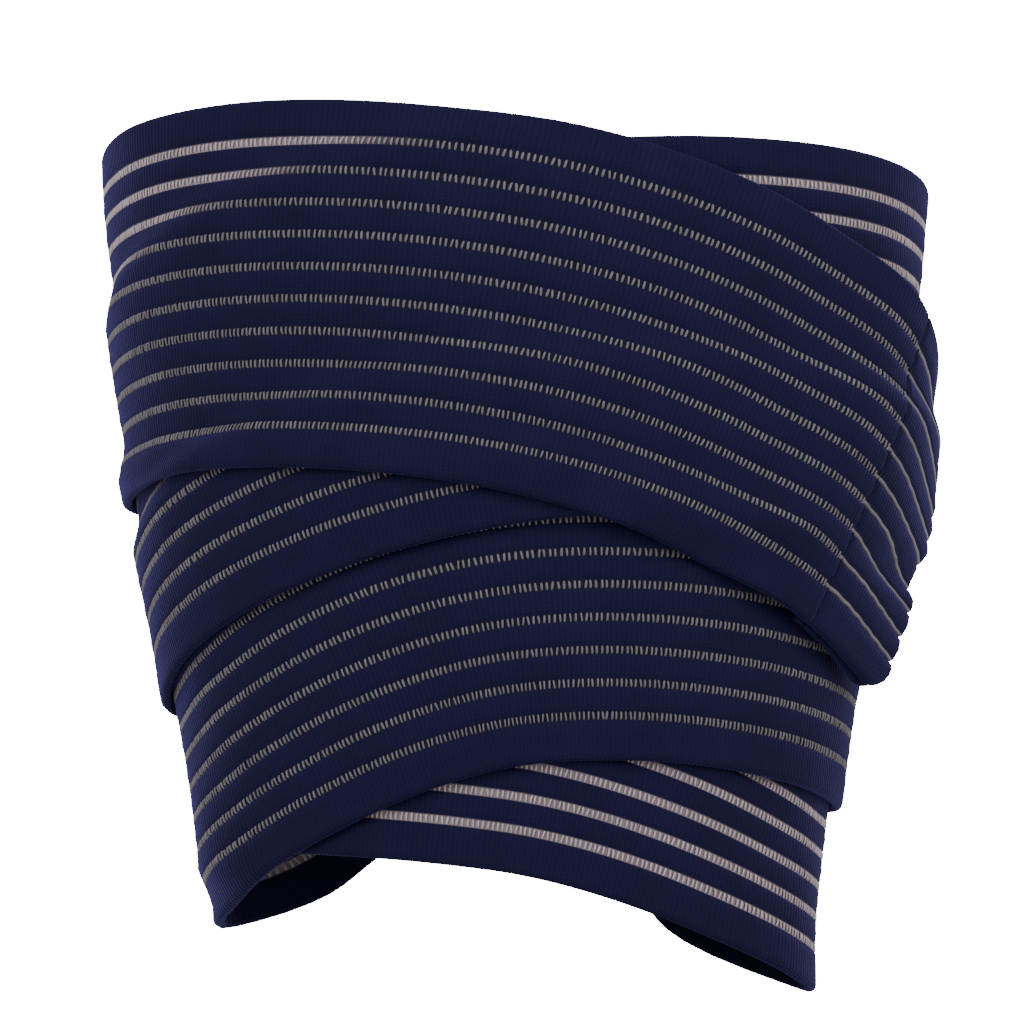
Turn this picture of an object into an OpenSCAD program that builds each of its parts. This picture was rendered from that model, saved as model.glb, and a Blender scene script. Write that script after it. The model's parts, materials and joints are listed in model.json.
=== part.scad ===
/* [Band] */
// Width of the elastic band, selvedge to selvedge
band_w = 40; // [38:1:42]
// Thickness of the band
band_t = 1.2; // [1.0:0.05:1.25]
// Clear gap between one turn and the turn under it
turn_gap = 0.25; // [0.2:0.05:0.35]

/* [Limb hollow] */
// Half width of the hollow at its narrow, wrist end
wrist_half = 31.5; // [30:0.5:34]
// Half width of the hollow at its wide, forearm end
forearm_half = 45.5; // [43:0.5:47]
// Height from the narrow end to the wide end
hollow_h = 100; // [95:1:105]
// Depth of the front half, as a part of the half width
front_ratio = 0.85; // [0.8:0.05:0.95]
// Depth of the back half at the wrist end, as a part of the half width
back_ratio_wrist = 0.45; // [0.4:0.05:0.5]
// Depth of the back half at the forearm end, as a part of the half width
back_ratio_forearm = 0.6; // [0.55:0.05:0.7]

/* [Tail] */
// Winding angle of the line where the tail peels off the wrap
peel_angle = 25; // [20:1:30]
// Winding angle of the line where the closure tab curls off
curl_angle = 57; // [52:1:58]
// Winding angle of the folded end of the tail
end_angle = 88; // [84:1:90]
// Radius of the two corners of the closure tab
tab_corner_r = 4; // [3:1:8]

/* [Closure] */
// Thickness of a turned hem, pressed flat
hem_t = 0.85; // [0.7:0.05:0.95]
// Thickness of the hook patch with its backing
hook_t = 0.65; // [0.5:0.05:0.75]
// Diameter of the sewing thread
thread_d = 0.2; // [0.15:0.05:0.25]
// Length of one stitch
stitch_len = 2; // [1.6:0.2:3]

/* [Hidden] */

navy = [0.13, 0.13, 0.25];
patch_black = [0.09, 0.09, 0.13];
thread_navy = [0.2, 0.2, 0.36];

// The winding angle is 0 facing -Y and 90 facing +X, and one full turn is 360 degrees
wind_start = -1170;
wind_step = 90;
// Height of the band's middle at the left, front, right and back of each turn.
// The first turn dips at the wrist, the next two climb, and the last one falls to the tab.
turns = [[36, 29, 21, 44],
         [28, 40, 41, 48],
         [53, 65, 71, 72],
         [75, 68, 49]];
// Moves the winding so that its lowest edge is at the origin's level
base_rise = -0.5;
heights = [for (turn = turns) each turn];
last_knot = len(heights) - 1;

turn_pitch = band_t + turn_gap;
// An upper turn steps down past a lower turn's edge, after edge_margin, over edge_ease
edge_margin = 1;
edge_ease = 8;
// The same step, in degrees, ahead of the band's start
start_margin = 2;
start_ease = 14;
seam_gap = 0.1;
// Gap between two panels at the line where the tail bends, in degrees
bend_gap = 0.6;
// Length of the hem turned under at the start, and of the fold at a hem, in degrees
start_hem_deg = 24;
fold_deg = 1.6;
// The tail lifts over the closure between these angles, by the pieces under it
lift_from = 38;
hook_clear = 0.1;
closure_lift = hem_t + hook_t + thread_d + seam_gap + hook_clear;
// Hem seam, and the hook patch's place on the hem
hem_seam_angle = 62;
hook_from = 65;
hook_to = 86;
hook_half = 16;
strip_cells = 12;
sweep_step = 6;

function smooth(x, lo, hi) =
    let (t = min(1, max(0, (x - lo) / (hi - lo)))) t * t * (3 - 2 * t);

// Height of knot i, carried on in a straight line past either end
function knot(i) =
    i < 0 ? 2 * knot(0) - knot(1) :
    i > last_knot ? 2 * knot(last_knot) - knot(last_knot - 1) : heights[i] + base_rise;

// [height, rise per degree] of the band's centre line at a winding angle
function centre(th) =
    let (
        t = (th - wind_start) / wind_step,
        i = min(last_knot - 1, max(0, floor(t))),
        u = t - i,
        p0 = knot(i - 1), p1 = knot(i), p2 = knot(i + 1), p3 = knot(i + 2),
        c1 = p2 - p0,
        c2 = 2 * p0 - 5 * p1 + 4 * p2 - p3,
        c3 = 3 * p1 - p0 - 3 * p2 + p3
    )
    [p1 + (c1 * u + c2 * u * u + c3 * u * u * u) / 2,
     (c1 + 2 * c2 * u + 3 * c3 * u * u) / 2 / wind_step];

function half_width(z) =
    wrist_half + (forearm_half - wrist_half) * smooth(z, 0, hollow_h);
function back_ratio(z) =
    back_ratio_wrist + (back_ratio_forearm - back_ratio_wrist) * z / hollow_h;
function depth(th, z) = half_width(z) * (cos(th) >= 0 ? front_ratio : back_ratio(z));

// Distance along the wall for one degree of winding, at height z
function arc_per_degree(th, z) = norm([half_width(z) * cos(th), depth(th, z) * sin(th)]) * PI / 180;

// Slope of the band against the level, in degrees
function tilt(th) =
    let (c = centre(th)) atan2(c[1], arc_per_degree(th, c[0]));

// A point on the hollow's wall, moved out by off
function wall(th, z, off) =
    let (
        a = half_width(z), b = depth(th, z),
        nx = sin(th) / a, ny = -cos(th) / b, n = norm([nx, ny])
    )
    [a * sin(th) + off * nx / n, -b * cos(th) + off * ny / n, z];

// How much the turn at this winding angle fills the wall at height z, from 0 to 1
function covers(th, z) =
    th < wind_start - start_ease ? 0 :
    let (
        along = max(th, wind_start),
        edge = band_w / 2 / cos(tilt(along)) + edge_margin,
        away = abs(z - centre(along)[0])
    )
    (1 - smooth(away, edge, edge + edge_ease))
        * smooth(th, wind_start - start_ease, wind_start - start_margin);

// Height of the turns that lie under this one, plus the closure's lift on the tail
function stack(th, z) =
    turn_pitch * (covers(th - 360, z) + covers(th - 720, z) + covers(th - 1080, z));
function lift(th) = closure_lift * smooth(th, lift_from, curl_angle);

// A point of the band at winding angle th, v across it, and off above its inner face
function on_band(th, v, off) =
    let (
        c = centre(th), slope = tilt(th),
        th_v = th - v * sin(slope) / arc_per_degree(th, c[0]),
        z_v = c[0] + v * cos(slope)
    )
    wall(th_v, z_v, stack(th_v, z_v) + lift(th) + off);

// A closed strip along the winding. Each station is
// [angle, inner offset, outer offset, lower edge, upper edge].
module strip(stations, cells) {
    row = cells + 1;
    ring = 2 * row;
    count = len(stations);
    points = [for (s = stations, side = [0, 1], k = [0:cells])
        on_band(s[0], s[3] + (s[4] - s[3]) * k / cells, s[1 + side])];
    skin = [for (i = [0:count - 2], k = [0:cells - 1])
        let (a = i * ring + k, b = a + ring)
        each [[a, a + 1, b], [a + 1, b + 1, b],
              [a + row, b + row, a + row + 1], [a + row + 1, b + row, b + row + 1]]];
    rims = [for (i = [0:count - 2])
        let (a = i * ring, b = a + ring, c = a + cells, d = c + ring)
        each [[a, b, a + row], [b, b + row, a + row],
              [c, c + row, d], [d, c + row, d + row]]];
    last = (count - 1) * ring;
    ends = [for (k = [0:cells - 1])
        each [[k, k + row, k + 1], [k + 1, k + row, k + row + 1],
              [last + k, last + k + 1, last + k + row],
              [last + k + 1, last + k + row + 1, last + k + row]]];
    polyhedron(points = points, faces = concat(skin, rims, ends));
}

// Angles from one end to the other, evenly spaced and no further apart than step
function even_angles(from, to, step) =
    let (n = ceil((to - from) / step)) [for (i = [0:n]) from + (to - from) * i / n];

function full_width(from, to, lo, hi) =
    [for (th = even_angles(from, to, sweep_step)) [th, lo, hi, -band_w / 2, band_w / 2]];

// How far a rounded corner draws the edge in, at a distance from the end
function corner_inset(from_end) =
    let (d = max(0, tab_corner_r - max(0, from_end)))
    tab_corner_r - sqrt(max(0, tab_corner_r * tab_corner_r - d * d));
function tab_half(th) =
    band_w / 2 - corner_inset((end_angle + fold_deg - th) * arc_per_degree(th, centre(th)[0]));
function tab_width(from, to, step, lo, hi) =
    [for (th = even_angles(from, to, step)) [th, lo, hi, -tab_half(th), tab_half(th)]];

// A row of stitches across the band: inner offset lo, from edge to edge
module stitch_row(th, lo, half) {
    count = floor(2 * half / (stitch_len * 1.35));
    pitch = 2 * half / count;
    for (i = [0:count - 1])
        strip([for (side = [-1, 1])
            [th + side * thread_d, lo, lo + thread_d,
             -half + pitch * (i + 0.5) - stitch_len / 2,
             -half + pitch * (i + 0.5) + stitch_len / 2]], 1);
}

// A row of stitches along the band at v
module stitch_line(from, to, v, lo) {
    arc = arc_per_degree((from + to) / 2, centre(from)[0]);
    count = floor((to - from) * arc / (stitch_len * 1.35));
    pitch = (to - from) / count;
    half = stitch_len / arc / 2;
    for (i = [0:count - 1])
        strip([for (side = [-1, 1])
            [from + pitch * (i + 0.5) + side * half, lo, lo + thread_d,
             v - thread_d / 2, v + thread_d / 2]], 1);
}

// The long body of the band, from its start against the skin to the peel line
module elastic_band() {
    color(navy)
    strip(full_width(wind_start, peel_angle - bend_gap / 2, 0, band_t), strip_cells);
}

// The start of the band, turned in once against the skin
module start_hem() {
    color(navy)
    strip(concat(
        full_width(wind_start - fold_deg, wind_start - bend_gap / 2, -hem_t, band_t),
        full_width(wind_start, wind_start + start_hem_deg, -hem_t, -seam_gap)),
        strip_cells);
}

module start_hem_stitching() {
    color(thread_navy)
    stitch_row(wind_start + start_hem_deg - 3, -hem_t - thread_d, band_w / 2 - 1);
}

// The first stretch of the tail, between the peel line and the curl line
module tail_panel() {
    color(navy)
    strip(full_width(peel_angle + bend_gap / 2, curl_angle - bend_gap / 2, 0, band_t),
          strip_cells);
}

// The outer face of the tail's end, as far as its fold
module closure_tab() {
    color(navy)
    strip(tab_width(curl_angle + bend_gap / 2, end_angle - seam_gap, 3, 0, band_t),
          strip_cells);
}

// The end of the tail, folded round and turned under the tab
module tail_hem() {
    color(navy)
    strip(concat(
        tab_width(hem_seam_angle - 2, end_angle, 3, -hem_t, -seam_gap),
        tab_width(end_angle + seam_gap, end_angle + fold_deg, 0.5, -hem_t, band_t)),
        strip_cells);
}

module tail_hem_stitching() {
    color(thread_navy)
    stitch_row(hem_seam_angle, band_t, band_w / 2 - 1);
}

// The hook half of the closure, sewn to the inside of the hem
module hook_patch() {
    color(patch_black)
    strip([for (th = even_angles(hook_from, hook_to, 3))
        [th, -hem_t - hook_t, -hem_t - seam_gap, -hook_half, hook_half]], strip_cells);
}

module hook_patch_stitching() {
    under = -hem_t - hook_t - thread_d;
    color(thread_navy) {
        for (v = [-1, 1]) stitch_line(hook_from + 1, hook_to - 1, v * (hook_half - 1), under);
        for (th = [hook_from + 1, hook_to - 1]) stitch_row(th, under, hook_half - 1);
    }
}

elastic_band();
start_hem();
start_hem_stitching();
tail_panel();
closure_tab();
tail_hem();
tail_hem_stitching();
hook_patch();
hook_patch_stitching();
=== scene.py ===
"""Dresses an elastic wrist support: one woven band, wound about a limb, with a hemmed closure tab.

The band is woven flat, as one long strip with openwork stripes, and then wound. A point of the flat
strip has three measures in millimetres: its place along the strip, across it, and above the strip's
inner face. The Winding class turns them into a place on the limb, turned hems and folds included, so
every piece that lies on the band is made flat and follows it.
"""

from __future__ import annotations

import json
import logging
import math
import random
from dataclasses import dataclass, field
from enum import Enum
from typing import Callable, Iterable

import bmesh
import bpy
import numpy as np
from mathutils import Matrix, Vector

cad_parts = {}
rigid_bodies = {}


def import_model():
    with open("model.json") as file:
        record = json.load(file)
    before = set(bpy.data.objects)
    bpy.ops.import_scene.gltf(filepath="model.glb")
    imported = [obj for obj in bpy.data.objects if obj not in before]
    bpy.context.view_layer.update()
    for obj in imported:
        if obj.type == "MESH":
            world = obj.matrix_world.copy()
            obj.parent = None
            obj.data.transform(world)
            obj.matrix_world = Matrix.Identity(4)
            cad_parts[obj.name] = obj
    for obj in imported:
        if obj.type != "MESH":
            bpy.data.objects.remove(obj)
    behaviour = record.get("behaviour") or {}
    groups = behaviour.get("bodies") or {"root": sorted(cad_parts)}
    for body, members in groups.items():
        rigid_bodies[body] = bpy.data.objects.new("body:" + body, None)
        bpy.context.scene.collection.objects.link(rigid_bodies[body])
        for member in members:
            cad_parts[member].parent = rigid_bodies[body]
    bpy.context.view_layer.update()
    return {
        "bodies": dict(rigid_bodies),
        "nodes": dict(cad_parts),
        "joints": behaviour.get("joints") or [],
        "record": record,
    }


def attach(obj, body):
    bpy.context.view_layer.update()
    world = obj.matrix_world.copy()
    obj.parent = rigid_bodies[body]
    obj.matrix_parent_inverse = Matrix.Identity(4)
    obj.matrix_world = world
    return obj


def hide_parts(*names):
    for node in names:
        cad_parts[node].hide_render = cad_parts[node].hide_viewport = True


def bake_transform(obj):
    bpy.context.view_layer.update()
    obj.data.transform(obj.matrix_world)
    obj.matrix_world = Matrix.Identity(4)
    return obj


LOG = logging.getLogger("wrist_support")
MM = 0.001
Array = np.ndarray
Colour = tuple[float, float, float]
Material, Mesh, Piece = bpy.types.Material, bpy.types.Mesh, bpy.types.Object
Tree, Socket = bpy.types.NodeTree, bpy.types.NodeSocket


class Body(Enum):
    """The bodies that pieces ride on."""

    WRAP = "wrap"
    TAIL = "tail"
    TAB = "tab"


class Joint(Enum):
    """The joints that the tail bends at."""

    PEEL = "tail_peel"
    CURL = "tab_curl"


def smooth(x: Array, low: float, high: float) -> Array:
    """Rise from 0 at low to 1 at high, level at both ends."""
    t = np.clip((x - low) / (high - low), 0.0, 1.0)
    return t * t * (3.0 - 2.0 * t)


@dataclass(frozen=True)
class Winding:
    """The path of the band round the limb, in millimetres and degrees of winding.

    Angle 0 faces -Y and 90 faces +X. A full turn is 360 degrees, and the band's start has the lowest
    angle. turns holds the height of the band's middle at the left, front, right and back of each turn.
    """

    start: float = -1170.0
    step: float = 90.0
    turns: tuple[tuple[float, ...], ...] = (
        (36, 29, 21, 44),
        (28, 40, 41, 48),
        (53, 65, 71, 72),
        (75, 68, 49),
    )
    rise: float = -0.5
    band_w: float = 40.0
    band_t: float = 1.2
    pitch: float = 1.45
    wrist_half: float = 31.5
    forearm_half: float = 45.5
    hollow_h: float = 100.0
    front_ratio: float = 0.85
    back_ratio_wrist: float = 0.45
    back_ratio_forearm: float = 0.6
    side_ease: float = 0.45
    peel_angle: float = 25.0
    curl_angle: float = 57.0
    end_angle: float = 88.0
    seam_angle: float = 62.0
    hem_gap: float = 0.1
    hem_t: float = 0.8
    lift_from: float = 38.0
    closure_lift: float = 1.9
    flare_from: float = 72.0
    flare: float = 1.3
    start_hem_deg: float = 24.0
    tail_hem_from: float = 60.0
    edge_margin: float = 1.0
    edge_ease: float = 5.0
    start_fade: tuple[float, float] = (14.0, 2.0)
    corner_from: float = 16.2
    corner_depth: float = 2.6
    corner_run: float = 4.0
    ripple: float = 0.1
    table_step: float = 0.25
    table_margin: float = 8.0
    knots: Array = field(init=False, repr=False)
    angles: Array = field(init=False, repr=False)
    lengths: Array = field(init=False, repr=False)

    def __post_init__(self) -> None:
        """Work out the knots of the height curve, and the length along the band at each angle."""
        h = np.concatenate(self.turns) + self.rise
        knots = np.concatenate([[2 * h[0] - h[1]], h, [2 * h[-1] - h[-2]]])
        object.__setattr__(self, "knots", knots)
        margin = self.table_margin
        angles = np.arange(self.start - margin, self.end_angle + margin, self.table_step)
        object.__setattr__(self, "angles", angles)
        line = self.on_band(angles, np.zeros_like(angles), self.band_t / 2)
        steps = np.linalg.norm(np.diff(line, axis=0), axis=1)
        lengths = np.concatenate([[0.0], np.cumsum(steps)])
        object.__setattr__(self, "lengths", lengths - np.interp(self.start, angles, lengths))

    def centre(self, angle: Array) -> tuple[Array, Array]:
        """Follow the smooth curve through the knots.

        Args:
            angle: degrees of winding.

        Returns:
            The height of the band's middle, and its rise per degree.
        """
        t = (np.asarray(angle, float) - self.start) / self.step
        i = np.clip(np.floor(t).astype(int), 0, len(self.knots) - 4)
        u = t - i
        p0, p1, p2, p3 = (self.knots[i + k] for k in range(4))
        c1, c2, c3 = p2 - p0, 2 * p0 - 5 * p1 + 4 * p2 - p3, 3 * p1 - p0 - 3 * p2 + p3
        height = p1 + (c1 * u + c2 * u**2 + c3 * u**3) / 2
        return height, (c1 + 2 * c2 * u + 3 * c3 * u**2) / 2 / self.step

    def half_width(self, z: Array) -> Array:
        """Half the hollow's width at height z."""
        growth = smooth(z, 0.0, self.hollow_h)
        return self.wrist_half + (self.forearm_half - self.wrist_half) * growth

    def depth(self, angle: Array, z: Array) -> Array:
        """The hollow's depth, front or back, easing from one to the other at the sides.

        Args:
            angle: degrees of winding.
            z: height.

        Returns:
            The distance from the axis to the wall's flattest part on that side.
        """
        growth = self.back_ratio_forearm - self.back_ratio_wrist
        back = self.back_ratio_wrist + growth * z / self.hollow_h
        front = smooth(np.cos(np.radians(angle)), -self.side_ease, self.side_ease)
        return self.half_width(z) * (back + (self.front_ratio - back) * front)

    def arc_per_degree(self, angle: Array, z: Array) -> Array:
        """How far along the wall one degree of winding goes.

        Args:
            angle: degrees of winding.
            z: height.

        Returns:
            Millimetres for each degree.
        """
        r = np.radians(angle)
        across = self.half_width(z) * np.cos(r)
        return np.hypot(across, self.depth(angle, z) * np.sin(r)) * math.pi / 180

    def tilt(self, angle: Array) -> Array:
        """The band's slope against the level, in radians."""
        z, slope = self.centre(angle)
        return np.arctan2(slope, self.arc_per_degree(angle, z))

    def uneven(self, angle: Array, z: Array) -> Array:
        """The limb's slight unevenness, which every turn follows alike.

        Args:
            angle: degrees of winding.
            z: height.

        Returns:
            How far the wall stands out from its smooth shape.
        """
        r = np.radians(angle)
        waves = np.sin(3 * r + 0.11 * z) + np.sin(7 * r - 0.23 * z + 1.3)
        waves = waves + 0.7 * np.sin(13 * r + 0.31 * z + 0.4) + 0.5 * np.sin(0.47 * z + 5 * r)
        return self.ripple * waves / 2

    def wall(self, angle: Array, z: Array, off: Array) -> Array:
        """Find a point on the limb's wall.

        Args:
            angle: degrees of winding.
            z: height.
            off: how far the point is moved out from the wall.

        Returns:
            The points in millimetres, one row each.
        """
        r = np.radians(angle)
        a, b = self.half_width(z), self.depth(angle, z)
        nx, ny = np.sin(r) / a, -np.cos(r) / b
        out = (off + self.uneven(angle, z)) / np.hypot(nx, ny)
        return np.stack([a * np.sin(r) + out * nx, -b * np.cos(r) + out * ny, z + 0 * a], -1)

    def covers(self, angle: Array, z: Array) -> Array:
        """How much a turn fills the wall.

        Args:
            angle: degrees of winding, which choose the turn.
            z: height.

        Returns:
            1 inside the band's edges, falling to 0 outside them and before the band's start.
        """
        along = np.maximum(angle, self.start)
        edge = self.band_w / 2 / np.cos(self.tilt(along)) + self.edge_margin
        away = np.abs(z - self.centre(along)[0]) - edge
        begun = smooth(angle, *(self.start - fade for fade in self.start_fade))
        return (1 - smooth(away, 0, self.edge_ease)) * begun

    def turns_below(self, angle: Array, z: Array) -> Array:
        """How many turns lie under this one at height z."""
        return sum(self.covers(angle - 360 * n, z) for n in (1, 2, 3))

    def on_wall(self, angle: Array, across: Array) -> tuple[Array, Array]:
        """Find a point of the band on the wall.

        Args:
            angle: degrees of winding of the band's middle.
            across: distance across the band from its middle.

        Returns:
            The point's own angle and height.
        """
        z, _ = self.centre(angle)
        slope = self.tilt(angle)
        turned = angle - across * np.sin(slope) / self.arc_per_degree(angle, z)
        return turned, z + across * np.cos(slope)

    def on_band(self, angle: Array, across: Array, off: Array) -> Array:
        """Find a point of the wound band, on top of the turns below it.

        Args:
            angle: degrees of winding of the band's middle.
            across: distance across the band from its middle.
            off: height above the band's inner face.

        Returns:
            The points in millimetres, one row each.
        """
        turned, z = self.on_wall(angle, across)
        lift = self.closure_lift * smooth(angle, self.lift_from, self.curl_angle)
        toward_end = (angle - self.flare_from) / (self.end_angle - self.flare_from)
        lift = lift + self.flare * np.clip(toward_end, 0, 1) ** 2
        return self.wall(turned, z, self.pitch * self.turns_below(turned, z) + lift + off)

    def length_at(self, angle: float) -> float:
        """The length along the band at an angle."""
        return float(np.interp(angle, self.angles, self.lengths))

    @property
    def fold_run(self) -> float:
        """The length of strip that a fold takes up."""
        return math.pi * self.band_t / 2

    @property
    def end(self) -> float:
        """The length along the band at its folded end."""
        return self.length_at(self.end_angle)

    def folded(self, q: Array, w: Array) -> tuple[Array, Array]:
        """Turn a strip's end under.

        Args:
            q: distance along the strip, 0 where the fold ends and the part underneath begins.
            w: height above the strip's inner face.

        Returns:
            The distance in from the fold line, and the height above the upper part's inner face.
        """
        run, half_gap = self.fold_run, self.hem_gap / 2
        turn = math.pi * (1 - np.clip(q / run, 0, 1))
        pressed = w * (1 - (1 - self.hem_t / self.band_t) * turn / math.pi)
        radius = half_gap + pressed
        off = radius * np.cos(turn) - half_gap
        inset = np.where(q > run, q - run, np.where(q < 0, -q, -radius * np.sin(turn)))
        return inset, np.where(q > run, w, off)

    def place(self, x: Array, v: Array, w: Array) -> tuple[Array, Array]:
        """Wind points of the flat strip, folding both its ends under.

        Args:
            x: distance along the strip from its start; under 0 and past the end it is turned under.
            v: distance across the strip from its middle.
            w: height above the strip's inner face.

        Returns:
            The points in millimetres, and how bare of turns the wall under each one is.
        """
        x, v, w = (np.asarray(k, float) for k in (x, v, w))
        from_start, off_start = self.folded(x + self.fold_run, w)
        from_end, off_end = self.folded(self.end + self.fold_run - x, w)
        near_start = x < self.end / 2
        along = np.where(near_start, from_start, self.end - from_end)
        off = np.where(near_start, off_start, off_end)
        angle = np.interp(along, self.lengths, self.angles)
        inset = np.clip(1 - (self.end - along) / self.corner_run, 0, 1)
        cut = self.corner_depth * (1 - np.sqrt(1 - inset**2))
        share = (self.band_w / 2 - self.corner_from - cut) / (self.band_w / 2 - self.corner_from)
        margin = np.maximum(np.abs(v) - self.corner_from, 0)
        v = np.sign(v) * (np.minimum(np.abs(v), self.corner_from) + margin * share)
        turned, z = self.on_wall(angle, v)
        bare = 1 - np.clip(self.turns_below(turned, z), 0, 1)
        return self.on_band(angle, v, off), bare


@dataclass(frozen=True)
class Weave:
    """The band's woven pattern across its width, in millimetres."""

    half_w: float = 20.0
    stripes: int = 10
    margin: float = 4.6
    groove_half: float = 0.42
    groove_in: float = 0.85
    groove_out: float = 1.25
    groove_depth: float = 0.26
    pillow: float = 0.07
    selvedge_round: float = 0.7
    yarn_sunk: float = 0.17
    cord_sunk: float = 0.3
    rung_pitch: float = 0.59
    rung_reach: float = 0.49
    rung_sunk: float = 0.24
    rung_stray: float = 0.07
    rung_bend: float = 0.55
    reach_stray: tuple[float, float] = (-0.07, 0.04)
    lean_stray: tuple[float, float] = (-0.03, 0.1)
    arch_stray: tuple[float, float] = (-0.04, 0.03)
    seam_depth: float = 0.3
    seam_half: float = 0.55
    notch_depth: float = 0.5
    scallop: float = 0.3

    @property
    def spacing(self) -> float:
        """The distance from one stripe to the next."""
        return 2 * (self.half_w - self.margin) / (self.stripes - 1)

    @property
    def stripe_places(self) -> list[float]:
        """Where the middle of each stripe is."""
        return [-self.half_w + self.margin + i * self.spacing for i in range(self.stripes)]

    def lines(self) -> list[float]:
        """Place the mesh's lines along the strip, so that it follows the grooves and selvedges.

        Returns:
            Their distances across the strip from its middle, in order.
        """
        found = []
        near, far = self.groove_in, self.groove_out
        for c in self.stripe_places:
            found += [c + k * self.groove_half for k in (-far, -near, 0, near, far)]
        for a, b in zip(self.stripe_places, self.stripe_places[1:]):
            found += [a + (b - a) * k for k in (0.36, 0.5, 0.64)]
        edge = self.half_w
        for k in (2.9, 2.0, 1.2, 0.7, 0.45, 0.22, 0.07, 0.0):
            found += [edge - k, k - edge]
        return sorted(found)

    def groove(self, v: Array) -> Array:
        """1 on a stripe, 0 between stripes."""
        away = np.min([np.abs(v - c) for c in self.stripe_places], axis=0)
        return 1 - smooth(away, self.groove_half * self.groove_in, self.groove_half * self.groove_out)

    def skin(self, v: Array) -> Array:
        """The face's relief: grooves, pillows between them, and rounded selvedges.

        Args:
            v: distance across the strip.

        Returns:
            How far the face stands in from the flat.
        """
        away = np.min([np.abs(v - c) for c in self.stripe_places], axis=0)
        crown = self.pillow * (1 - smooth(away, 0.3 * self.spacing, 0.5 * self.spacing))
        into = np.clip((np.abs(v) - self.half_w + self.selvedge_round) / self.selvedge_round, 0, 1)
        edge = 0.5 * (1 - np.sqrt(1 - into**2))
        return self.groove_depth * self.groove(v) + crown + edge

    def fold_edge(self, v: Array) -> Array:
        """The folded edge's relief: it bulges between stripes and is notched at them.

        Args:
            v: distance across the strip.

        Returns:
            How far the edge stands in.
        """
        away = np.min([np.abs(v - c) for c in self.stripe_places], axis=0)
        across = np.clip(away / (0.5 * self.spacing), 0, 1)
        return self.notch_depth * self.groove(v) + self.scallop * (1 - across) ** 2


def even_steps(low: float, high: float, step: float) -> list[float]:
    """Places from low to high, both of them included, no further apart than step."""
    count = max(2, math.ceil((high - low) / step))
    return [low + (high - low) * i / count for i in range(count + 1)]


def mid_places(low: float, high: float, step: float) -> list[float]:
    """The middles of the whole steps that fit between low and high, spread evenly."""
    count = int((high - low) / step)
    return [low + (high - low) * (i + 0.5) / count for i in range(count)]


def mesh_from(name: str, bm: bmesh.types.BMesh) -> Mesh:
    """Turn a finished bmesh into a mesh.

    Args:
        name: the mesh's name.
        bm: the bmesh, which is freed.

    Returns:
        The new mesh.
    """
    mesh = bpy.data.meshes.new(name)
    bm.to_mesh(mesh)
    bm.free()
    return mesh


def object_from(name: str, data: bpy.types.ID) -> Piece:
    """Put a mesh or a curve in the scene.

    Args:
        name: the object's name.
        data: its mesh or curve.

    Returns:
        The object, at the origin.
    """
    obj = bpy.data.objects.new(name, data)
    bpy.context.scene.collection.objects.link(obj)
    return obj


def points_of(mesh: Mesh) -> Array:
    """Read a mesh's points.

    Args:
        mesh: the mesh.

    Returns:
        Its points, one row each.
    """
    flat = np.empty(len(mesh.vertices) * 3, np.float64)
    mesh.vertices.foreach_get("co", flat)
    return flat.reshape(-1, 3)


def set_attribute(mesh: Mesh, name: str, values: Array) -> None:
    """Store one number on each point of a mesh."""
    layer = mesh.attributes.new(name, "FLOAT", "POINT")
    layer.data.foreach_set("value", np.asarray(values, np.float32))


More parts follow.
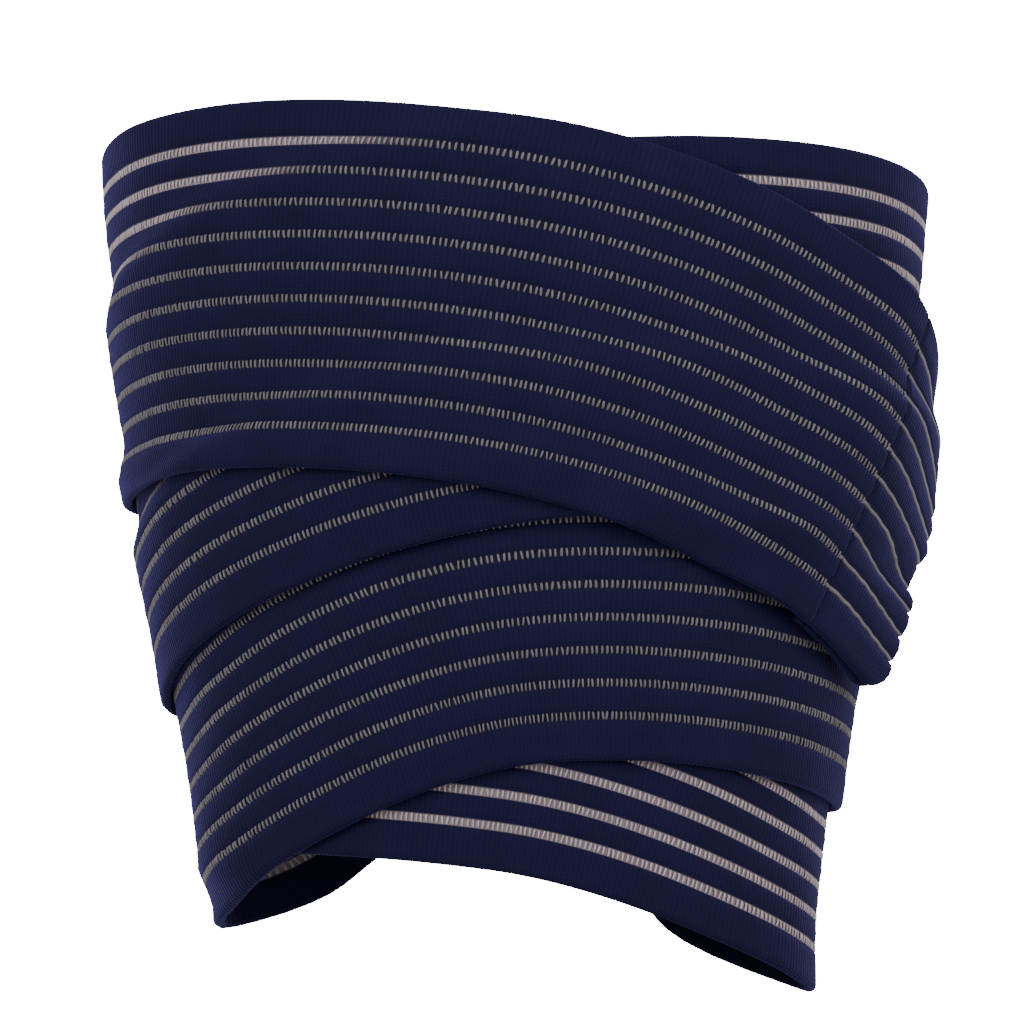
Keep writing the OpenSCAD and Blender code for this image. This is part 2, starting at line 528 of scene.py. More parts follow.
@dataclass
class Loom:
    """Makes pieces flat, in the strip's own measures, and winds them."""

    winding: Winding
    weave: Weave

    def wound(self, mesh: Mesh, place: Callable[..., tuple[Array, Array]]) -> None:
        """Move a flat mesh's points to their place on the limb.

        Args:
            mesh: a mesh in strip measures; it gets a map of its flat places, and a bare attribute.
            place: turns distances along, across and above the strip into points in millimetres.
        """
        flat = points_of(mesh)
        corners = np.empty(len(mesh.loops), np.int32)
        mesh.loops.foreach_get("vertex_index", corners)
        layer = mesh.uv_layers.new(name="flat")
        layer.data.foreach_set("uv", flat[corners, :2].astype(np.float32).ravel())
        points, bare = place(flat[:, 0], flat[:, 1], flat[:, 2])
        mesh.vertices.foreach_set("co", (points * MM).astype(np.float32).ravel())
        set_attribute(mesh, "bare", bare)
        mesh.shade_smooth()
        mesh.update()

    def slab(self, along: list[float], across: list[float], thickness: float) -> bmesh.types.BMesh:
        """Make a flat closed slab with a line at each of the given places.

        Args:
            along: places of the lines that run across the slab, in order.
            across: places of the lines that run along it, in order.
            thickness: the slab's height above 0.

        Returns:
            The slab, whose two end rims are sharp.
        """
        bm = bmesh.new()
        nx, ny = len(along) - 1, len(across) - 1
        bmesh.ops.create_grid(bm, x_segments=nx, y_segments=ny, size=0.5)
        for vert in bm.verts:
            vert.co.x = along[round((vert.co.x + 0.5) * nx)]
            vert.co.y = across[round((vert.co.y + 0.5) * ny)]
        bmesh.ops.solidify(bm, geom=bm.faces[:], thickness=thickness)
        for vert in bm.verts:
            vert.co.z = thickness if abs(vert.co.z) > thickness / 2 else 0.0
        bmesh.ops.recalc_face_normals(bm, faces=bm.faces[:])
        for edge in bm.edges:
            x_a, x_b = (vert.co.x for vert in edge.verts)
            if x_a == x_b and min(abs(x_a - along[0]), abs(x_a - along[-1])) < 1e-4:
                edge.smooth = False
        return bm

    def stretch_of_band(self, name: str, low: float, high: float, step: float) -> Piece:
        """Weave and wind the band from one length along it to another.

        Args:
            name: the piece's name.
            low: the length along the band where the piece begins.
            high: the length where it ends.
            step: the distance between the mesh's lines across the band.

        Returns:
            The piece, without its finish.
        """
        along = even_steps(low, high, step)
        seam = self.winding.length_at(self.winding.seam_angle)
        under = 2 * self.winding.end + self.winding.fold_run - seam
        for mark in (seam, under):
            close = [mark + k * self.weave.seam_half for k in (-1, -0.5, 0, 0.5, 1)]
            along += [x for x in close if low < x < high]
        along += [x for x in self.fold_lines() if low < x < high]
        mesh = mesh_from(name, self.slab(sorted(set(along)), self.weave.lines(), self.winding.band_t))
        flat = points_of(mesh)
        x, v, w = flat.T
        depth = self.weave.skin(v)
        for mark in (seam, under):
            dent = np.exp(-(((x - mark) / (0.5 * self.weave.seam_half)) ** 2))
            depth = depth + self.weave.seam_depth * dent * (1 - self.weave.groove(v))
        fold = self.winding.end + self.winding.fold_run / 2
        on_fold = np.exp(-(((x - fold) / self.winding.fold_run) ** 2))
        outer, inner = depth + self.weave.fold_edge(v) * on_fold, depth * (1 - on_fold)
        w = np.where(w > self.winding.band_t / 2, w - outer, w + inner)
        mesh.vertices.foreach_set("co", np.stack([x, v, w], -1).ravel())
        set_attribute(mesh, "groove", self.weave.groove(v))
        self.wound(mesh, self.winding.place)
        return object_from(name, mesh)

    def fold_lines(self) -> list[float]:
        """Extra lines across the band, so that its two folds come out round."""
        run, end = self.winding.fold_run, self.winding.end
        return [base + run * k / 8 for base in (-run, end) for k in range(9)]

    def tubes(
        self,
        name: str,
        paths: Iterable[list[tuple[float, float, float]]],
        radius: float,
        place: Callable[..., tuple[Array, Array]],
    ) -> Piece:
        """Make threads that follow flat paths, and wind them.

        Args:
            name: the piece's name.
            paths: each thread's points, in strip measures.
            radius: the threads' radius.
            place: the winding of the points.

        Returns:
            The piece, without its finish.
        """
        curve = bpy.data.curves.new(name, "CURVE")
        curve.dimensions = "3D"
        curve.bevel_depth = radius
        curve.bevel_resolution = 0
        curve.use_fill_caps = True
        for path in paths:
            spline = curve.splines.new("POLY")
            spline.points.add(len(path) - 1)
            spline.points.foreach_set("co", [k for p in path for k in (*p, 1.0)])
        line = object_from(name + "_line", curve)
        mesh = bpy.data.meshes.new_from_object(line)
        bpy.data.objects.remove(line)
        bpy.data.curves.remove(curve)
        mesh.name = name
        self.wound(mesh, place)
        return object_from(name, mesh)

    def rungs(
        self, low: float, high: float, across: float, base: float, inward: int, rng: random.Random
    ) -> list[tuple[float, float, float]]:
        """One openwork stripe's yarn: it crosses the gap, runs on along its edge, and crosses back.

        Args:
            low: the length along the band where the yarn begins.
            high: the length where it ends.
            across: the middle of the stripe.
            base: the yarn's height above the band's inner face.
            inward: 1 where the yarn's ends sink from the outer face, -1 from the inner face.
            rng: gives each crossing its small difference.

        Returns:
            The yarn's points, in strip measures.
        """
        weave = self.weave
        path = []
        for k in range(math.ceil(low / weave.rung_pitch), math.ceil(high / weave.rung_pitch)):
            x = k * weave.rung_pitch + rng.uniform(-weave.rung_stray, weave.rung_stray)
            side = 1 if k % 2 else -1
            reach = weave.rung_reach + rng.uniform(*weave.reach_stray)
            lean = rng.uniform(*weave.lean_stray)
            arch = rng.uniform(*weave.arch_stray)
            for share in (-1.0, -weave.rung_bend, weave.rung_bend, 1.0):
                sunk = inward * weave.rung_sunk if abs(share) == 1 else -inward * arch
                path.append((x + lean * share, across + side * share * reach, base - sunk))
        return [(low, path[0][1], path[0][2])] + path + [(high, path[-1][1], path[-1][2])]

    def stitches(
        self, name: str, places: list[tuple[float, float, bool]], length: float, radius: float, base: float
    ) -> Piece:
        """Make a seam's stitches, each a short rounded length of thread.

        Args:
            name: the piece's name.
            places: the middle of each stitch along and across the strip, and whether it lies along it.
            length: a stitch's length.
            radius: the thread's radius.
            base: the height of the stitches' middles above the strip's inner face.

        Returns:
            The piece, without its finish.
        """
        bm = bmesh.new()
        for x, v, lengthwise in places:
            size = (length / 2, radius, radius) if lengthwise else (radius, length / 2, radius)
            spot = Matrix.Translation((x, v, base)) @ Matrix.Diagonal((*size, 1.0))
            bmesh.ops.create_uvsphere(bm, u_segments=8, v_segments=6, radius=1.0, matrix=spot)
        mesh = mesh_from(name, bm)
        self.wound(mesh, self.winding.place)
        return object_from(name, mesh)


def set_inputs(node: bpy.types.Node, values: dict[str, object]) -> None:
    """Set a node's own sockets by name."""
    for name, value in values.items():
        node.inputs[name].default_value = value


def new_material(name: str) -> tuple[Material, Tree, bpy.types.Node]:
    """Make a material with a plain Principled shader.

    Args:
        name: the material's name.

    Returns:
        The material, its node tree and its shader.
    """
    material = bpy.data.materials.new(name)
    material.use_nodes = True
    tree = material.node_tree
    return material, tree, tree.nodes["Principled BSDF"]


def math_node(tree: Tree, operation: str, *inputs: object) -> Socket:
    """Add a Math node.

    Args:
        tree: the node tree.
        operation: what the node works out.
        inputs: its inputs, each a socket or a number.

    Returns:
        Its result.
    """
    node = tree.nodes.new("ShaderNodeMath")
    node.operation = operation
    for socket, value in zip(node.inputs, inputs):
        if isinstance(value, Socket):
            tree.links.new(value, socket)
        else:
            socket.default_value = value
    return node.outputs[0]


def mix_colours(tree: Tree, share: object, a: object, b: object) -> Socket:
    """Mix two colours, where each input is a socket or a value.

    Args:
        tree: the node tree.
        share: how much of the second colour there is, from 0 to 1.
        a: the first colour.
        b: the second colour.

    Returns:
        The mixed colour.
    """
    node = tree.nodes.new("ShaderNodeMix")
    node.data_type = "RGBA"
    for name, value in (("Factor_Float", share), ("A_Color", a), ("B_Color", b)):
        socket = next(s for s in node.inputs if s.identifier == name)
        if isinstance(value, Socket):
            tree.links.new(value, socket)
        else:
            socket.default_value = (*value, 1.0) if isinstance(value, tuple) else value
    return next(s for s in node.outputs if s.identifier == "Result_Color")


def attribute(tree: Tree, name: str) -> Socket:
    """Read a number that is stored on the mesh.

    Args:
        tree: the node tree.
        name: the stored number's name.

    Returns:
        The number.
    """
    node = tree.nodes.new("ShaderNodeAttribute")
    node.attribute_name = name
    return node.outputs["Fac"]


def noise(tree: Tree, scale: float, detail: float, vector: object) -> Socket:
    """Add a noise texture.

    Args:
        tree: the node tree.
        scale: how fine the noise is.
        detail: how many finer layers it has.
        vector: the place that it reads.

    Returns:
        Its value.
    """
    node = tree.nodes.new("ShaderNodeTexNoise")
    set_inputs(node, {"Scale": scale, "Detail": detail})
    tree.links.new(vector, node.inputs["Vector"])
    return node.outputs["Fac"]


def link_bump(tree: Tree, height: object, strength: float, depth_mm: float) -> None:
    """Give a material's shader a bump.

    Args:
        tree: the material's node tree.
        height: the relief.
        strength: how much of it shows.
        depth_mm: how deep it is.
    """
    bump = tree.nodes.new("ShaderNodeBump")
    set_inputs(bump, {"Strength": strength, "Distance": depth_mm * MM})
    tree.links.new(height, bump.inputs["Height"])
    tree.links.new(bump.outputs[0], tree.nodes["Principled BSDF"].inputs["Normal"])


def toned(tree: Tree, colour: object, value: object) -> Socket:
    """Make a colour lighter or darker.

    Args:
        tree: the node tree.
        colour: the colour.
        value: 1 leaves it as it is.

    Returns:
        The new colour.
    """
    node = tree.nodes.new("ShaderNodeHueSaturation")
    tree.links.new(colour, node.inputs["Color"])
    tree.links.new(value, node.inputs["Value"])
    return node.outputs[0]


def weave_group() -> Tree:
    """Build the woven relief: ribs across the band and rows along it, with their unevenness.

    Returns:
        A group that turns a flat place into the relief's height and its painted shade, which is darker where
        the relief is low.
    """
    tree = bpy.data.node_groups.new("woven_relief", "ShaderNodeTree")
    face = tree.interface
    face.new_socket("Flat place", in_out="INPUT", socket_type="NodeSocketVector")
    for name, default in (("Rib pitch", 0.59), ("Row pitch", 0.42), ("Uneven", 0.3)):
        socket = face.new_socket(name, in_out="INPUT", socket_type="NodeSocketFloat")
        socket.default_value = default
    face.new_socket("Height", in_out="OUTPUT", socket_type="NodeSocketFloat")
    face.new_socket("Shade", in_out="OUTPUT", socket_type="NodeSocketFloat")
    inputs = tree.nodes.new("NodeGroupInput").outputs
    outputs = tree.nodes.new("NodeGroupOutput").inputs
    split = tree.nodes.new("ShaderNodeSeparateXYZ")
    tree.links.new(inputs["Flat place"], split.inputs[0])
    turn = 2 * math.pi

    def wave(place: object, pitch: object) -> Socket:
        """A wave of a given pitch along one measure of the cloth."""
        turns = math_node(tree, "DIVIDE", place, pitch)
        return math_node(tree, "SINE", math_node(tree, "MULTIPLY", turns, turn))

    wander = noise(tree, 0.9, 3.0, inputs["Flat place"])
    drift = math_node(tree, "MULTIPLY", math_node(tree, "SUBTRACT", wander, 0.5), inputs["Uneven"])
    ribs = wave(math_node(tree, "ADD", split.outputs[0], drift), inputs["Rib pitch"])
    rows = wave(math_node(tree, "ADD", split.outputs[1], drift), inputs["Row pitch"])
    fibre = noise(tree, 7.0, 2.0, inputs["Flat place"])
    both = math_node(tree, "MULTIPLY_ADD", rows, 0.35, ribs)
    height = math_node(tree, "MULTIPLY_ADD", fibre, 1.2, both)
    tree.links.new(height, outputs["Height"])
    # Painted shade: the shade falls with the relief's height, so the hollows between ribs and rows are
    # painted darker; the fibre noise in it is random tone.
    shade = math_node(tree, "MULTIPLY_ADD", height, 0.14, 0.42)
    tree.links.new(shade, outputs["Shade"])
    return tree


@dataclass(frozen=True)
class BandFinish:
    """The woven elastic: navy ground with painted shade between ribs, and open stripes that show the navy
    turn below, with painted light where no turn lies below.
    """

    name: str = "band_navy_weave"
    # dark and light are one navy: light where the woven relief is high, and dark as painted shade where it is
    # low.
    dark: Colour = (0.0032, 0.0026, 0.0135)
    light: Colour = (0.0078, 0.006, 0.034)
    gap_over_cloth: Colour = (0.01, 0.01, 0.024)
    # Painted light: the pale of light seen through the open stripes where no turn lies under the band.
    gap_painted_light: Colour = (0.2, 0.165, 0.18)
    rib_pitch: float = 0.59
    row_pitch: float = 0.42
    roughness: float = 0.85
    relief_mm: float = 0.035
    relief_strength: float = 0.7
    dye_scale: float = 0.12
    dye_detail: float = 4.0
    dye_share: float = 0.5
    specular: float = 0.08
    sheen: float = 0.24
    sheen_roughness: float = 0.3
    sheen_tint: Colour = (0.28, 0.22, 1.0)

    def build(self, relief: Tree) -> Material:
        """Make the material.

        Args:
            relief: the woven relief's node group.

        Returns:
            The material.
        """
        material, tree, shader = new_material(self.name)
        place = tree.nodes.new("ShaderNodeUVMap")
        place.uv_map = "flat"
        weave = tree.nodes.new("ShaderNodeGroup")
        weave.node_tree = relief
        set_inputs(weave, {"Rib pitch": self.rib_pitch, "Row pitch": self.row_pitch})
        tree.links.new(place.outputs[0], weave.inputs["Flat place"])
        # Painted shade: the navy is mixed darker where the woven relief is low, between ribs and rows.
        ground = mix_colours(tree, weave.outputs["Shade"], self.dark, self.light)
        dye = noise(tree, self.dye_scale, self.dye_detail, place.outputs[0])
        tone = math_node(tree, "MULTIPLY_ADD", dye, self.dye_share, 1 - self.dye_share / 2)
        cloth = toned(tree, ground, tone)
        # Open stripes: over cloth they take the navy of the turn below, and where no turn lies below they are
        # painted light, pale.
        gap = mix_colours(tree, attribute(tree, "bare"), self.gap_over_cloth, self.gap_painted_light)
        colour = mix_colours(tree, attribute(tree, "groove"), cloth, gap)
        tree.links.new(colour, shader.inputs["Base Color"])
        link_bump(tree, weave.outputs["Height"], self.relief_strength, self.relief_mm)
        set_inputs(shader, {"Roughness": self.roughness, "Specular IOR Level": self.specular})
        set_inputs(shader, {"Sheen Weight": self.sheen, "Sheen Roughness": self.sheen_roughness})
        set_inputs(shader, {"Sheen Tint": (*self.sheen_tint, 1)})
        return material


@dataclass(frozen=True)
class ThreadFinish:
    """A yarn or sewing thread: its tone over cloth and over the bare limb, and its fuzz. Where the two tones
    differ, the pale one is painted light and the dark one is painted shade.
    """

    name: str
    over_cloth: Colour
    over_bare: Colour
    roughness: float = 0.75
    sheen: float = 0.2
    specular: float = 0.3
    twist_scale: float = 900.0
    dusk_scale: float = 180.0
    relief_mm: float = 0.04
    relief_strength: float = 0.5

    def build(self) -> Material:
        """Make the material.

        Returns:
            The material.
        """
        material, tree, shader = new_material(self.name)
        place = tree.nodes.new("ShaderNodeTexCoord").outputs["Object"]
        fuzz = noise(tree, self.twist_scale, 2.0, place)
        dusk = noise(tree, self.dusk_scale, 2.0, place)
        # Painted light and shade: the thread is mixed pale where no turn lies under it, and dark over cloth.
        base = mix_colours(tree, attribute(tree, "bare"), self.over_cloth, self.over_bare)
        both = math_node(tree, "MULTIPLY_ADD", fuzz, 0.5, math_node(tree, "MULTIPLY", dusk, 0.6))
        colour = toned(tree, base, math_node(tree, "ADD", both, 0.45))
        tree.links.new(colour, shader.inputs["Base Color"])
        link_bump(tree, fuzz, self.relief_strength, self.relief_mm)
        set_inputs(shader, {"Roughness": self.roughness, "Sheen Weight": self.sheen})
        set_inputs(shader, {"Specular IOR Level": self.specular})
        return material


@dataclass(frozen=True)
class HookPatch:
    """The hook half of the closure, in millimetres and degrees of winding."""

    from_angle: float = 65.0
    to_angle: float = 86.0
    half_w: float = 16.0
    gap: float = 0.08
    backing_t: float = 0.2
    hook_pitch: float = 0.8
    hook_h: float = 0.28
    hook_radius: float = 0.05
    hook_reach: float = 0.22
    hook_shape: tuple[tuple[float, float], ...] = ((0, -0.1), (0, 0.6), (0.35, 0.95), (0.8, 0.95), (1, 0.6))
    bare_edge: float = 0.72
    mesh_step: float = 0.8
    seam_in: float = 1.0


@dataclass
class Wrap:
    """The whole wrist support, built stretch by stretch along its band."""

    loom: Loom
    frame: dict
    band_finish: Material
    yarn_finish: Material
    thread_finish: Material
    hook_finish: Material
    wound_step: float = 1.6
    tail_step: float = 0.9
    start_run: float = 4.0
    yarn_radius: float = 0.135
    yarn_splits: tuple[float, float, float] = (-860.0, -560.0, -260.0)
    cord_radius: float = 0.25
    cord_stop: float = 0.5
    cord_step: float = 0.5
    cord_sway: float = 0.05
    cord_sway_rate: float = 2.1
    thread_radius: float = 0.11
    stitch_len: float = 2.0
    stitch_pitch: float = 2.7
    seam_inset: float = 1.0
    start_seam_in: float = 3.0
    patch: HookPatch = field(default_factory=HookPatch)
    bend_before: float = 4.0
    bend_after: float = 4.0
    curl_after: float = 1.8
    relaxed: float = 0.85
    bend_from: float = 5.0
    bend_to: float = 41.0
    tab_from: float = 61.0

    def at(self, angle: float) -> float:
        """The length along the band at an angle."""
        return self.loom.winding.length_at(angle)

    def finish_piece(
        self,
        obj: Piece,
        material: Material,
        slot: str,
        rider: Body | Joint,
        *nodes: str,
    ) -> None:
        """Dress a piece, and say what carries it.

        Args:
            obj: the piece, in place.
            material: its finish.
            slot: the record's material slot that it stands for; not used.
            rider: a body that carries it, or the joint that it crosses.
            nodes: the CAD nodes that it replaces.
        """
        obj.data.materials.clear()
        obj.data.materials.append(material)
        self.hold(obj, rider)
        if nodes:
            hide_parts(*nodes)
        LOG.info("%s: %d faces", obj.name, len(obj.data.polygons))

    def hold(self, obj: Piece, rider: Body | Joint) -> None:
        """Ride a piece on a body; a piece that crosses a joint is baked in place and does not bend.

        Args:
            obj: the piece, in place.
            rider: a body that carries it, or the joint that it crosses.
        """
        if isinstance(rider, Body):
            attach(obj, rider.value)
            return
        joint = next(j for j in self.frame["joints"] if j["name"] == rider.value)
        pivot, axis = Vector(joint["pos_m"]), Vector(joint["axis"]).normalized()
        winding = self.loom.winding
        angle = winding.peel_angle if rider is Joint.PEEL else winding.curl_angle
        ends = winding.on_band(np.array([angle - 1, angle + 1]), np.zeros(2), winding.band_t)
        along = Vector(ends[1] - ends[0])
        along = (along - axis * along.dot(axis)).normalized()
        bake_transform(obj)

    def marks(self) -> tuple[float, float, float, float]:
        """Find where the turned-under start, the peel bend, the curl bend and the tab begin.

        Returns:
            Their lengths along the band.
        """
        w = self.loom.winding
        under_start = -w.fold_run - self.at(w.start + w.start_hem_deg)
        return under_start, self.at(self.bend_from), self.at(self.bend_to), self.at(self.tab_from)

    def stretches(self) -> list[tuple[str, float, float, float, Body | Joint, tuple[str, ...]]]:
        """Divide the band into pieces.

        Returns:
            For each, its name, both ends, mesh step, what carries it, and the CAD nodes it replaces.
        """
        w = self.loom.winding
        under_start, a, b, c = self.marks()
        under_end = w.end + w.fold_run + w.end - self.at(w.tail_hem_from)
        return [
            ("band_start_fold", under_start, self.start_run, self.tail_step, Body.WRAP, ("start_hem",)),
            ("band_wound", self.start_run, a, self.wound_step, Body.WRAP, ("elastic_band",)),
            ("band_peel_bend", a, b, self.tail_step, Joint.PEEL, ("tail_panel",)),
            ("band_curl_bend", b, c, self.tail_step, Joint.CURL, ()),
            ("band_tab_fold", c, under_end, self.tail_step, Body.TAB, ("closure_tab", "tail_hem")),
        ]

    def build_band(self) -> None:
        """Make the band's stretches."""
        for name, low, high, step, rider, nodes in self.stretches():
            piece = self.loom.stretch_of_band(name, low, high, step)
            self.finish_piece(piece, self.band_finish, "band_fabric", rider, *nodes)

    def yarn_spans(self) -> list[tuple[str, float, float, Body | Joint]]:
        """Divide the openwork yarn into stretches.

        Returns:
            For each, its name, both ends, and what carries it.
        """
        under_start, a, b, c = self.marks()
        first, second, third = (self.at(k) for k in self.yarn_splits)
        return [
            ("start", under_start, self.start_run, Body.WRAP),
            ("first_turn", self.start_run, first, Body.WRAP),
            ("second_turn", first, second, Body.WRAP),
            ("third_turn", second, third, Body.WRAP),
            ("last_turn", third, a, Body.WRAP),
            ("peel_bend", a, b, Joint.PEEL),
            ("curl_bend", b, c, Joint.CURL),
        ]

    def build_yarns(self) -> None:
        """Make the openwork yarn of every stripe, as it shows on the outer and on the inner face."""
        rng = random.Random(11)
        w, weave = self.loom.winding, self.loom.weave
        faces = (("yarn", w.band_t - weave.yarn_sunk, 1), ("inner_yarn", weave.yarn_sunk, -1))
        for prefix, base, inward in faces:
            for name, low, high, rider in self.yarn_spans():
                paths = [self.loom.rungs(low, high, v, base, inward, rng) for v in weave.stripe_places]
                piece = self.loom.tubes(f"{prefix}_{name}", paths, self.yarn_radius, w.place)
                self.finish_piece(piece, self.yarn_finish, "stripe_yarn", rider)
        self.build_tab_cords()

    def build_tab_cords(self) -> None:
        """Make the cords of the tab, where stitching holds the yarn stretched straight."""
        w, weave = self.loom.winding, self.loom.weave
        low, under = self.at(self.tab_from), w.end + w.fold_run
        high = under + w.end - self.at(w.tail_hem_from)
        base = w.band_t - weave.cord_sunk
        paths = []
        for v in weave.stripe_places:
            for a, b in ((low, w.end - self.cord_stop), (under + self.cord_stop, high)):
                sway = [(x, self.cord_sway_rate * x + v) for x in even_steps(a, b, self.cord_step)]
                paths.append([(x, v + self.cord_sway * math.sin(turn), base) for x, turn in sway])
        piece = self.loom.tubes("tab_cords", paths, self.cord_radius, w.place)
        self.finish_piece(piece, self.yarn_finish, "stripe_yarn", Body.TAB)

    def build_seams(self) -> None:
        """Sew both hems, each with one row of stitches across the band."""
        w, weave = self.loom.winding, self.loom.weave
        reach = weave.half_w - self.seam_inset
        across = mid_places(-reach, reach, self.stitch_pitch)
        start_x = -w.fold_run - self.at(w.start + w.start_hem_deg - self.start_seam_in)
        rows = (
            ("start_hem_stitches", start_x, Body.WRAP, "start_hem_stitching"),
            ("tail_hem_stitches", self.at(w.seam_angle), Body.TAB, "tail_hem_stitching"),
        )
        base = w.band_t - weave.seam_depth + self.thread_radius
        for name, x, body, node in rows:
            places = [(x, v, False) for v in across]
            piece = self.loom.stitches(name, places, self.stitch_len, self.thread_radius, base)
            self.finish_piece(piece, self.thread_finish, "sewing_thread", body, node)

    def build_hook_patch(self) -> None:
        """Make the hook patch inside the tab: a woven backing, a field of hooks, and its stitches."""
        w, patch = self.loom.winding, self.patch
        under = 2 * w.end + w.fold_run
        low, high = under - self.at(patch.to_angle), under - self.at(patch.from_angle)
        along = even_steps(low, high, patch.mesh_step)
        across = even_steps(-patch.half_w, patch.half_w, patch.mesh_step)
        scale = w.band_t / w.hem_t
        face = w.band_t + (patch.gap + patch.backing_t) * scale

        def lifted(x: Array, v: Array, height: Array) -> tuple[Array, Array]:
            """Wind points of the backing, which lies just under the hem."""
            return w.place(x, v, w.band_t + (patch.gap + height) * scale)

        mesh = mesh_from("hook_backing", self.loom.slab(along, across, patch.backing_t))
        self.loom.wound(mesh, lifted)
        backing = object_from("hook_backing", mesh)
        self.finish_piece(backing, self.hook_finish, "hook_nylon", Body.TAB, "hook_patch")
        self.build_hooks(low, high, face, scale)
        self.build_patch_stitches(low, high, face)

    def build_hooks(self, low: float, high: float, face: float, scale: float) -> None:
        """Make the field of hooks, each a stalk that bends over at its top.

        Args:
            low: the length along the strip where the patch begins.
            high: the length where it ends.
            face: the height of the backing's outer face above the strip's inner face.
            scale: how much a height above the strip is pressed under the hem.
        """
        patch = self.patch
        paths = []
        edge = patch.bare_edge
        rows = int((2 * patch.half_w - 2 * edge) / patch.hook_pitch)
        columns = int((high - low - 2 * edge) / patch.hook_pitch)
        for i in range(columns + 1):
            for k in range(rows + 1):
                x = low + edge + i * patch.hook_pitch
                v = -patch.half_w + edge + k * patch.hook_pitch
                way = patch.hook_reach if k % 2 else -patch.hook_reach
                rise = patch.hook_h * scale
                paths.append([(x + way * out, v, face + rise * up) for out, up in patch.hook_shape])
        piece = self.loom.tubes("hook_field", paths, patch.hook_radius, self.loom.winding.place)
        self.finish_piece(piece, self.hook_finish, "hook_nylon", Body.TAB)

    def build_patch_stitches(self, low: float, high: float, face: float) -> None:
        """Sew the hook patch down all round its edge.

        Args:
            low: the length along the strip where the patch begins.
            high: the length where it ends.
            face: the height of the backing's outer face above the strip's inner face.
        """
        patch = self.patch
        side, first, last = patch.half_w - patch.seam_in, low + patch.seam_in, high - patch.seam_in
        places = []
        for x in mid_places(first, last, self.stitch_pitch):
            places += [(x, side, True), (x, -side, True)]
        for v in mid_places(-side, side, self.stitch_pitch):
            places += [(first, v, False), (last, v, False)]
        piece = self.loom.stitches(
            "hook_patch_stitches", places, self.stitch_len, self.thread_radius, face
        )
        node = "hook_patch_stitching"
        self.finish_piece(piece, self.thread_finish, "sewing_thread", Body.TAB, node)


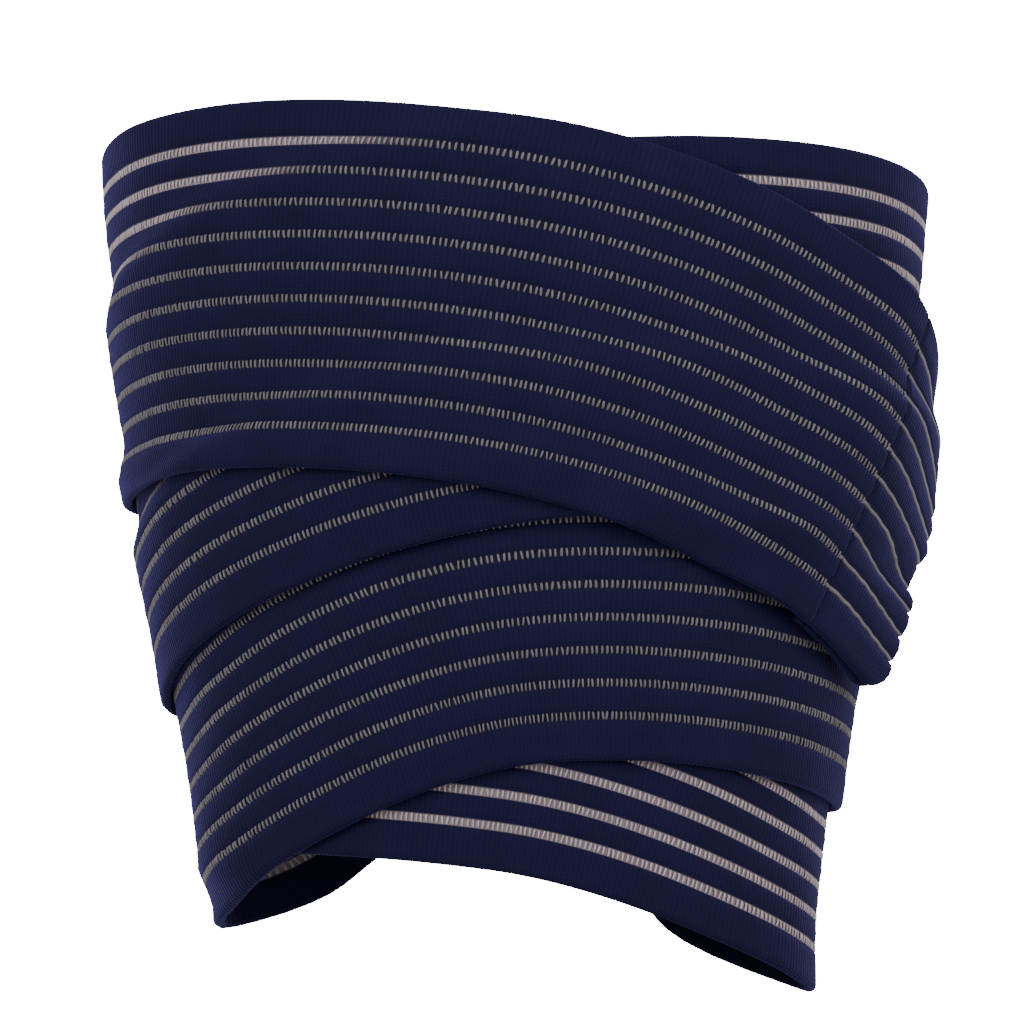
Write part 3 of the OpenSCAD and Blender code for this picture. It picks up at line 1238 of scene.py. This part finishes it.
@dataclass(frozen=True)
class Studio:
    """Camera, floor and light."""

    distance: float = 0.7
    look_up_deg: float = 13.5
    aim: tuple[float, float, float] = (-0.00045, 0.0, 0.054)
    lens: float = 222.0
    floor_size: float = 4.0
    floor_drop: float = 0.0005
    world_light: float = 0.8
    world_seen: float = 20.0
    lamp_aim: tuple[float, float, float] = (0.0, 0.0, 0.05)
    lamps: tuple[tuple[str, tuple[float, float, float], float, float], ...] = (
        ("key", (-0.5, -0.9, 0.5), 0.7, 9.0),
        ("fill", (0.8, -0.6, 0.12), 0.8, 9.0),
    )

    def build_camera(self) -> None:
        """Place the camera, which looks up at the front of the wrap."""
        angle = math.radians(self.look_up_deg)
        forward = Vector((0.0, math.cos(angle), math.sin(angle)))
        data = bpy.data.cameras.new("camera")
        data.lens, data.sensor_width = self.lens, 36.0
        data.clip_start, data.clip_end = 0.01, 50.0
        camera = bpy.data.objects.new("camera", data)
        bpy.context.scene.collection.objects.link(camera)
        turn = forward.to_track_quat("-Z", "Y").to_matrix().to_4x4()
        camera.matrix_world = Matrix.Translation(Vector(self.aim) - forward * self.distance) @ turn
        bpy.context.scene.camera = camera

    def build_floor(self) -> None:
        """Lay a pale floor that is clear from below."""
        bm = bmesh.new()
        bmesh.ops.create_grid(bm, x_segments=1, y_segments=1, size=self.floor_size / 2)
        bmesh.ops.translate(bm, vec=(0, 0, -self.floor_drop), verts=bm.verts[:])
        mesh = mesh_from("floor", bm)
        material, tree, shader = new_material("floor_pale")
        set_inputs(shader, {"Base Color": (0.85, 0.85, 0.85, 1), "Roughness": 0.9})
        clear = tree.nodes.new("ShaderNodeBsdfTransparent")
        mix = tree.nodes.new("ShaderNodeMixShader")
        side = tree.nodes.new("ShaderNodeNewGeometry")
        tree.links.new(side.outputs["Backfacing"], mix.inputs[0])
        tree.links.new(shader.outputs[0], mix.inputs[1])
        tree.links.new(clear.outputs[0], mix.inputs[2])
        tree.links.new(mix.outputs[0], tree.nodes["Material Output"].inputs["Surface"])
        mesh.materials.append(material)
        object_from("floor", mesh)

    def build_light(self) -> None:
        """Light the wrap from all round, with a soft key on the left."""
        world = bpy.data.worlds.new("studio")
        bpy.context.scene.world = world
        world.use_nodes = True
        tree = world.node_tree
        light = tree.nodes["Background"]
        set_inputs(light, {"Color": (1, 1, 1, 1), "Strength": self.world_light})
        seen = tree.nodes.new("ShaderNodeBackground")
        set_inputs(seen, {"Color": (1, 1, 1, 1), "Strength": self.world_seen})
        mix = tree.nodes.new("ShaderNodeMixShader")
        ray = tree.nodes.new("ShaderNodeLightPath")
        tree.links.new(ray.outputs["Is Camera Ray"], mix.inputs[0])
        tree.links.new(light.outputs[0], mix.inputs[1])
        tree.links.new(seen.outputs[0], mix.inputs[2])
        tree.links.new(mix.outputs[0], tree.nodes["World Output"].inputs["Surface"])
        for name, place, size, power in self.lamps:
            data = bpy.data.lights.new(name, "AREA")
            data.size, data.energy = size, power
            lamp = bpy.data.objects.new(name, data)
            lamp.location = place
            direction = Vector(self.lamp_aim) - Vector(place)
            lamp.rotation_euler = direction.to_track_quat("-Z", "Y").to_euler()
            bpy.context.scene.collection.objects.link(lamp)


def build(frame: dict) -> None:
    """Make every piece of the wrap, and the studio round it.

    Args:
        frame: the loaded model, with its joints.
    """
    relief = weave_group()
    studio = Studio()
    studio.build_camera()
    studio.build_floor()
    studio.build_light()
    thread, hook = (0.004, 0.004, 0.014), (0.01, 0.01, 0.016)
    wrap = Wrap(
        loom=Loom(Winding(), Weave()),
        frame=frame,
        band_finish=BandFinish().build(relief),
        # The off-white stripe yarn: dark over cloth as painted shade, and pale over the bare wall as painted
        # light.
        yarn_finish=ThreadFinish("stripe_yarn_offwhite", (0.105, 0.091, 0.109), (0.32, 0.258, 0.285)).build(),
        thread_finish=ThreadFinish("thread_navy", thread, thread, sheen=0.02, specular=0.15).build(),
        hook_finish=ThreadFinish("hook_black", hook, hook, sheen=0.0, specular=0.2).build(),
    )
    wrap.build_band()
    wrap.build_yarns()
    wrap.build_seams()
    wrap.build_hook_patch()


def main() -> None:
    """Load the frame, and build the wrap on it."""
    logging.basicConfig(level=logging.INFO, format="%(name)s: %(message)s")
    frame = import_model()
    build(frame)


if __name__ == "__main__":
    main()
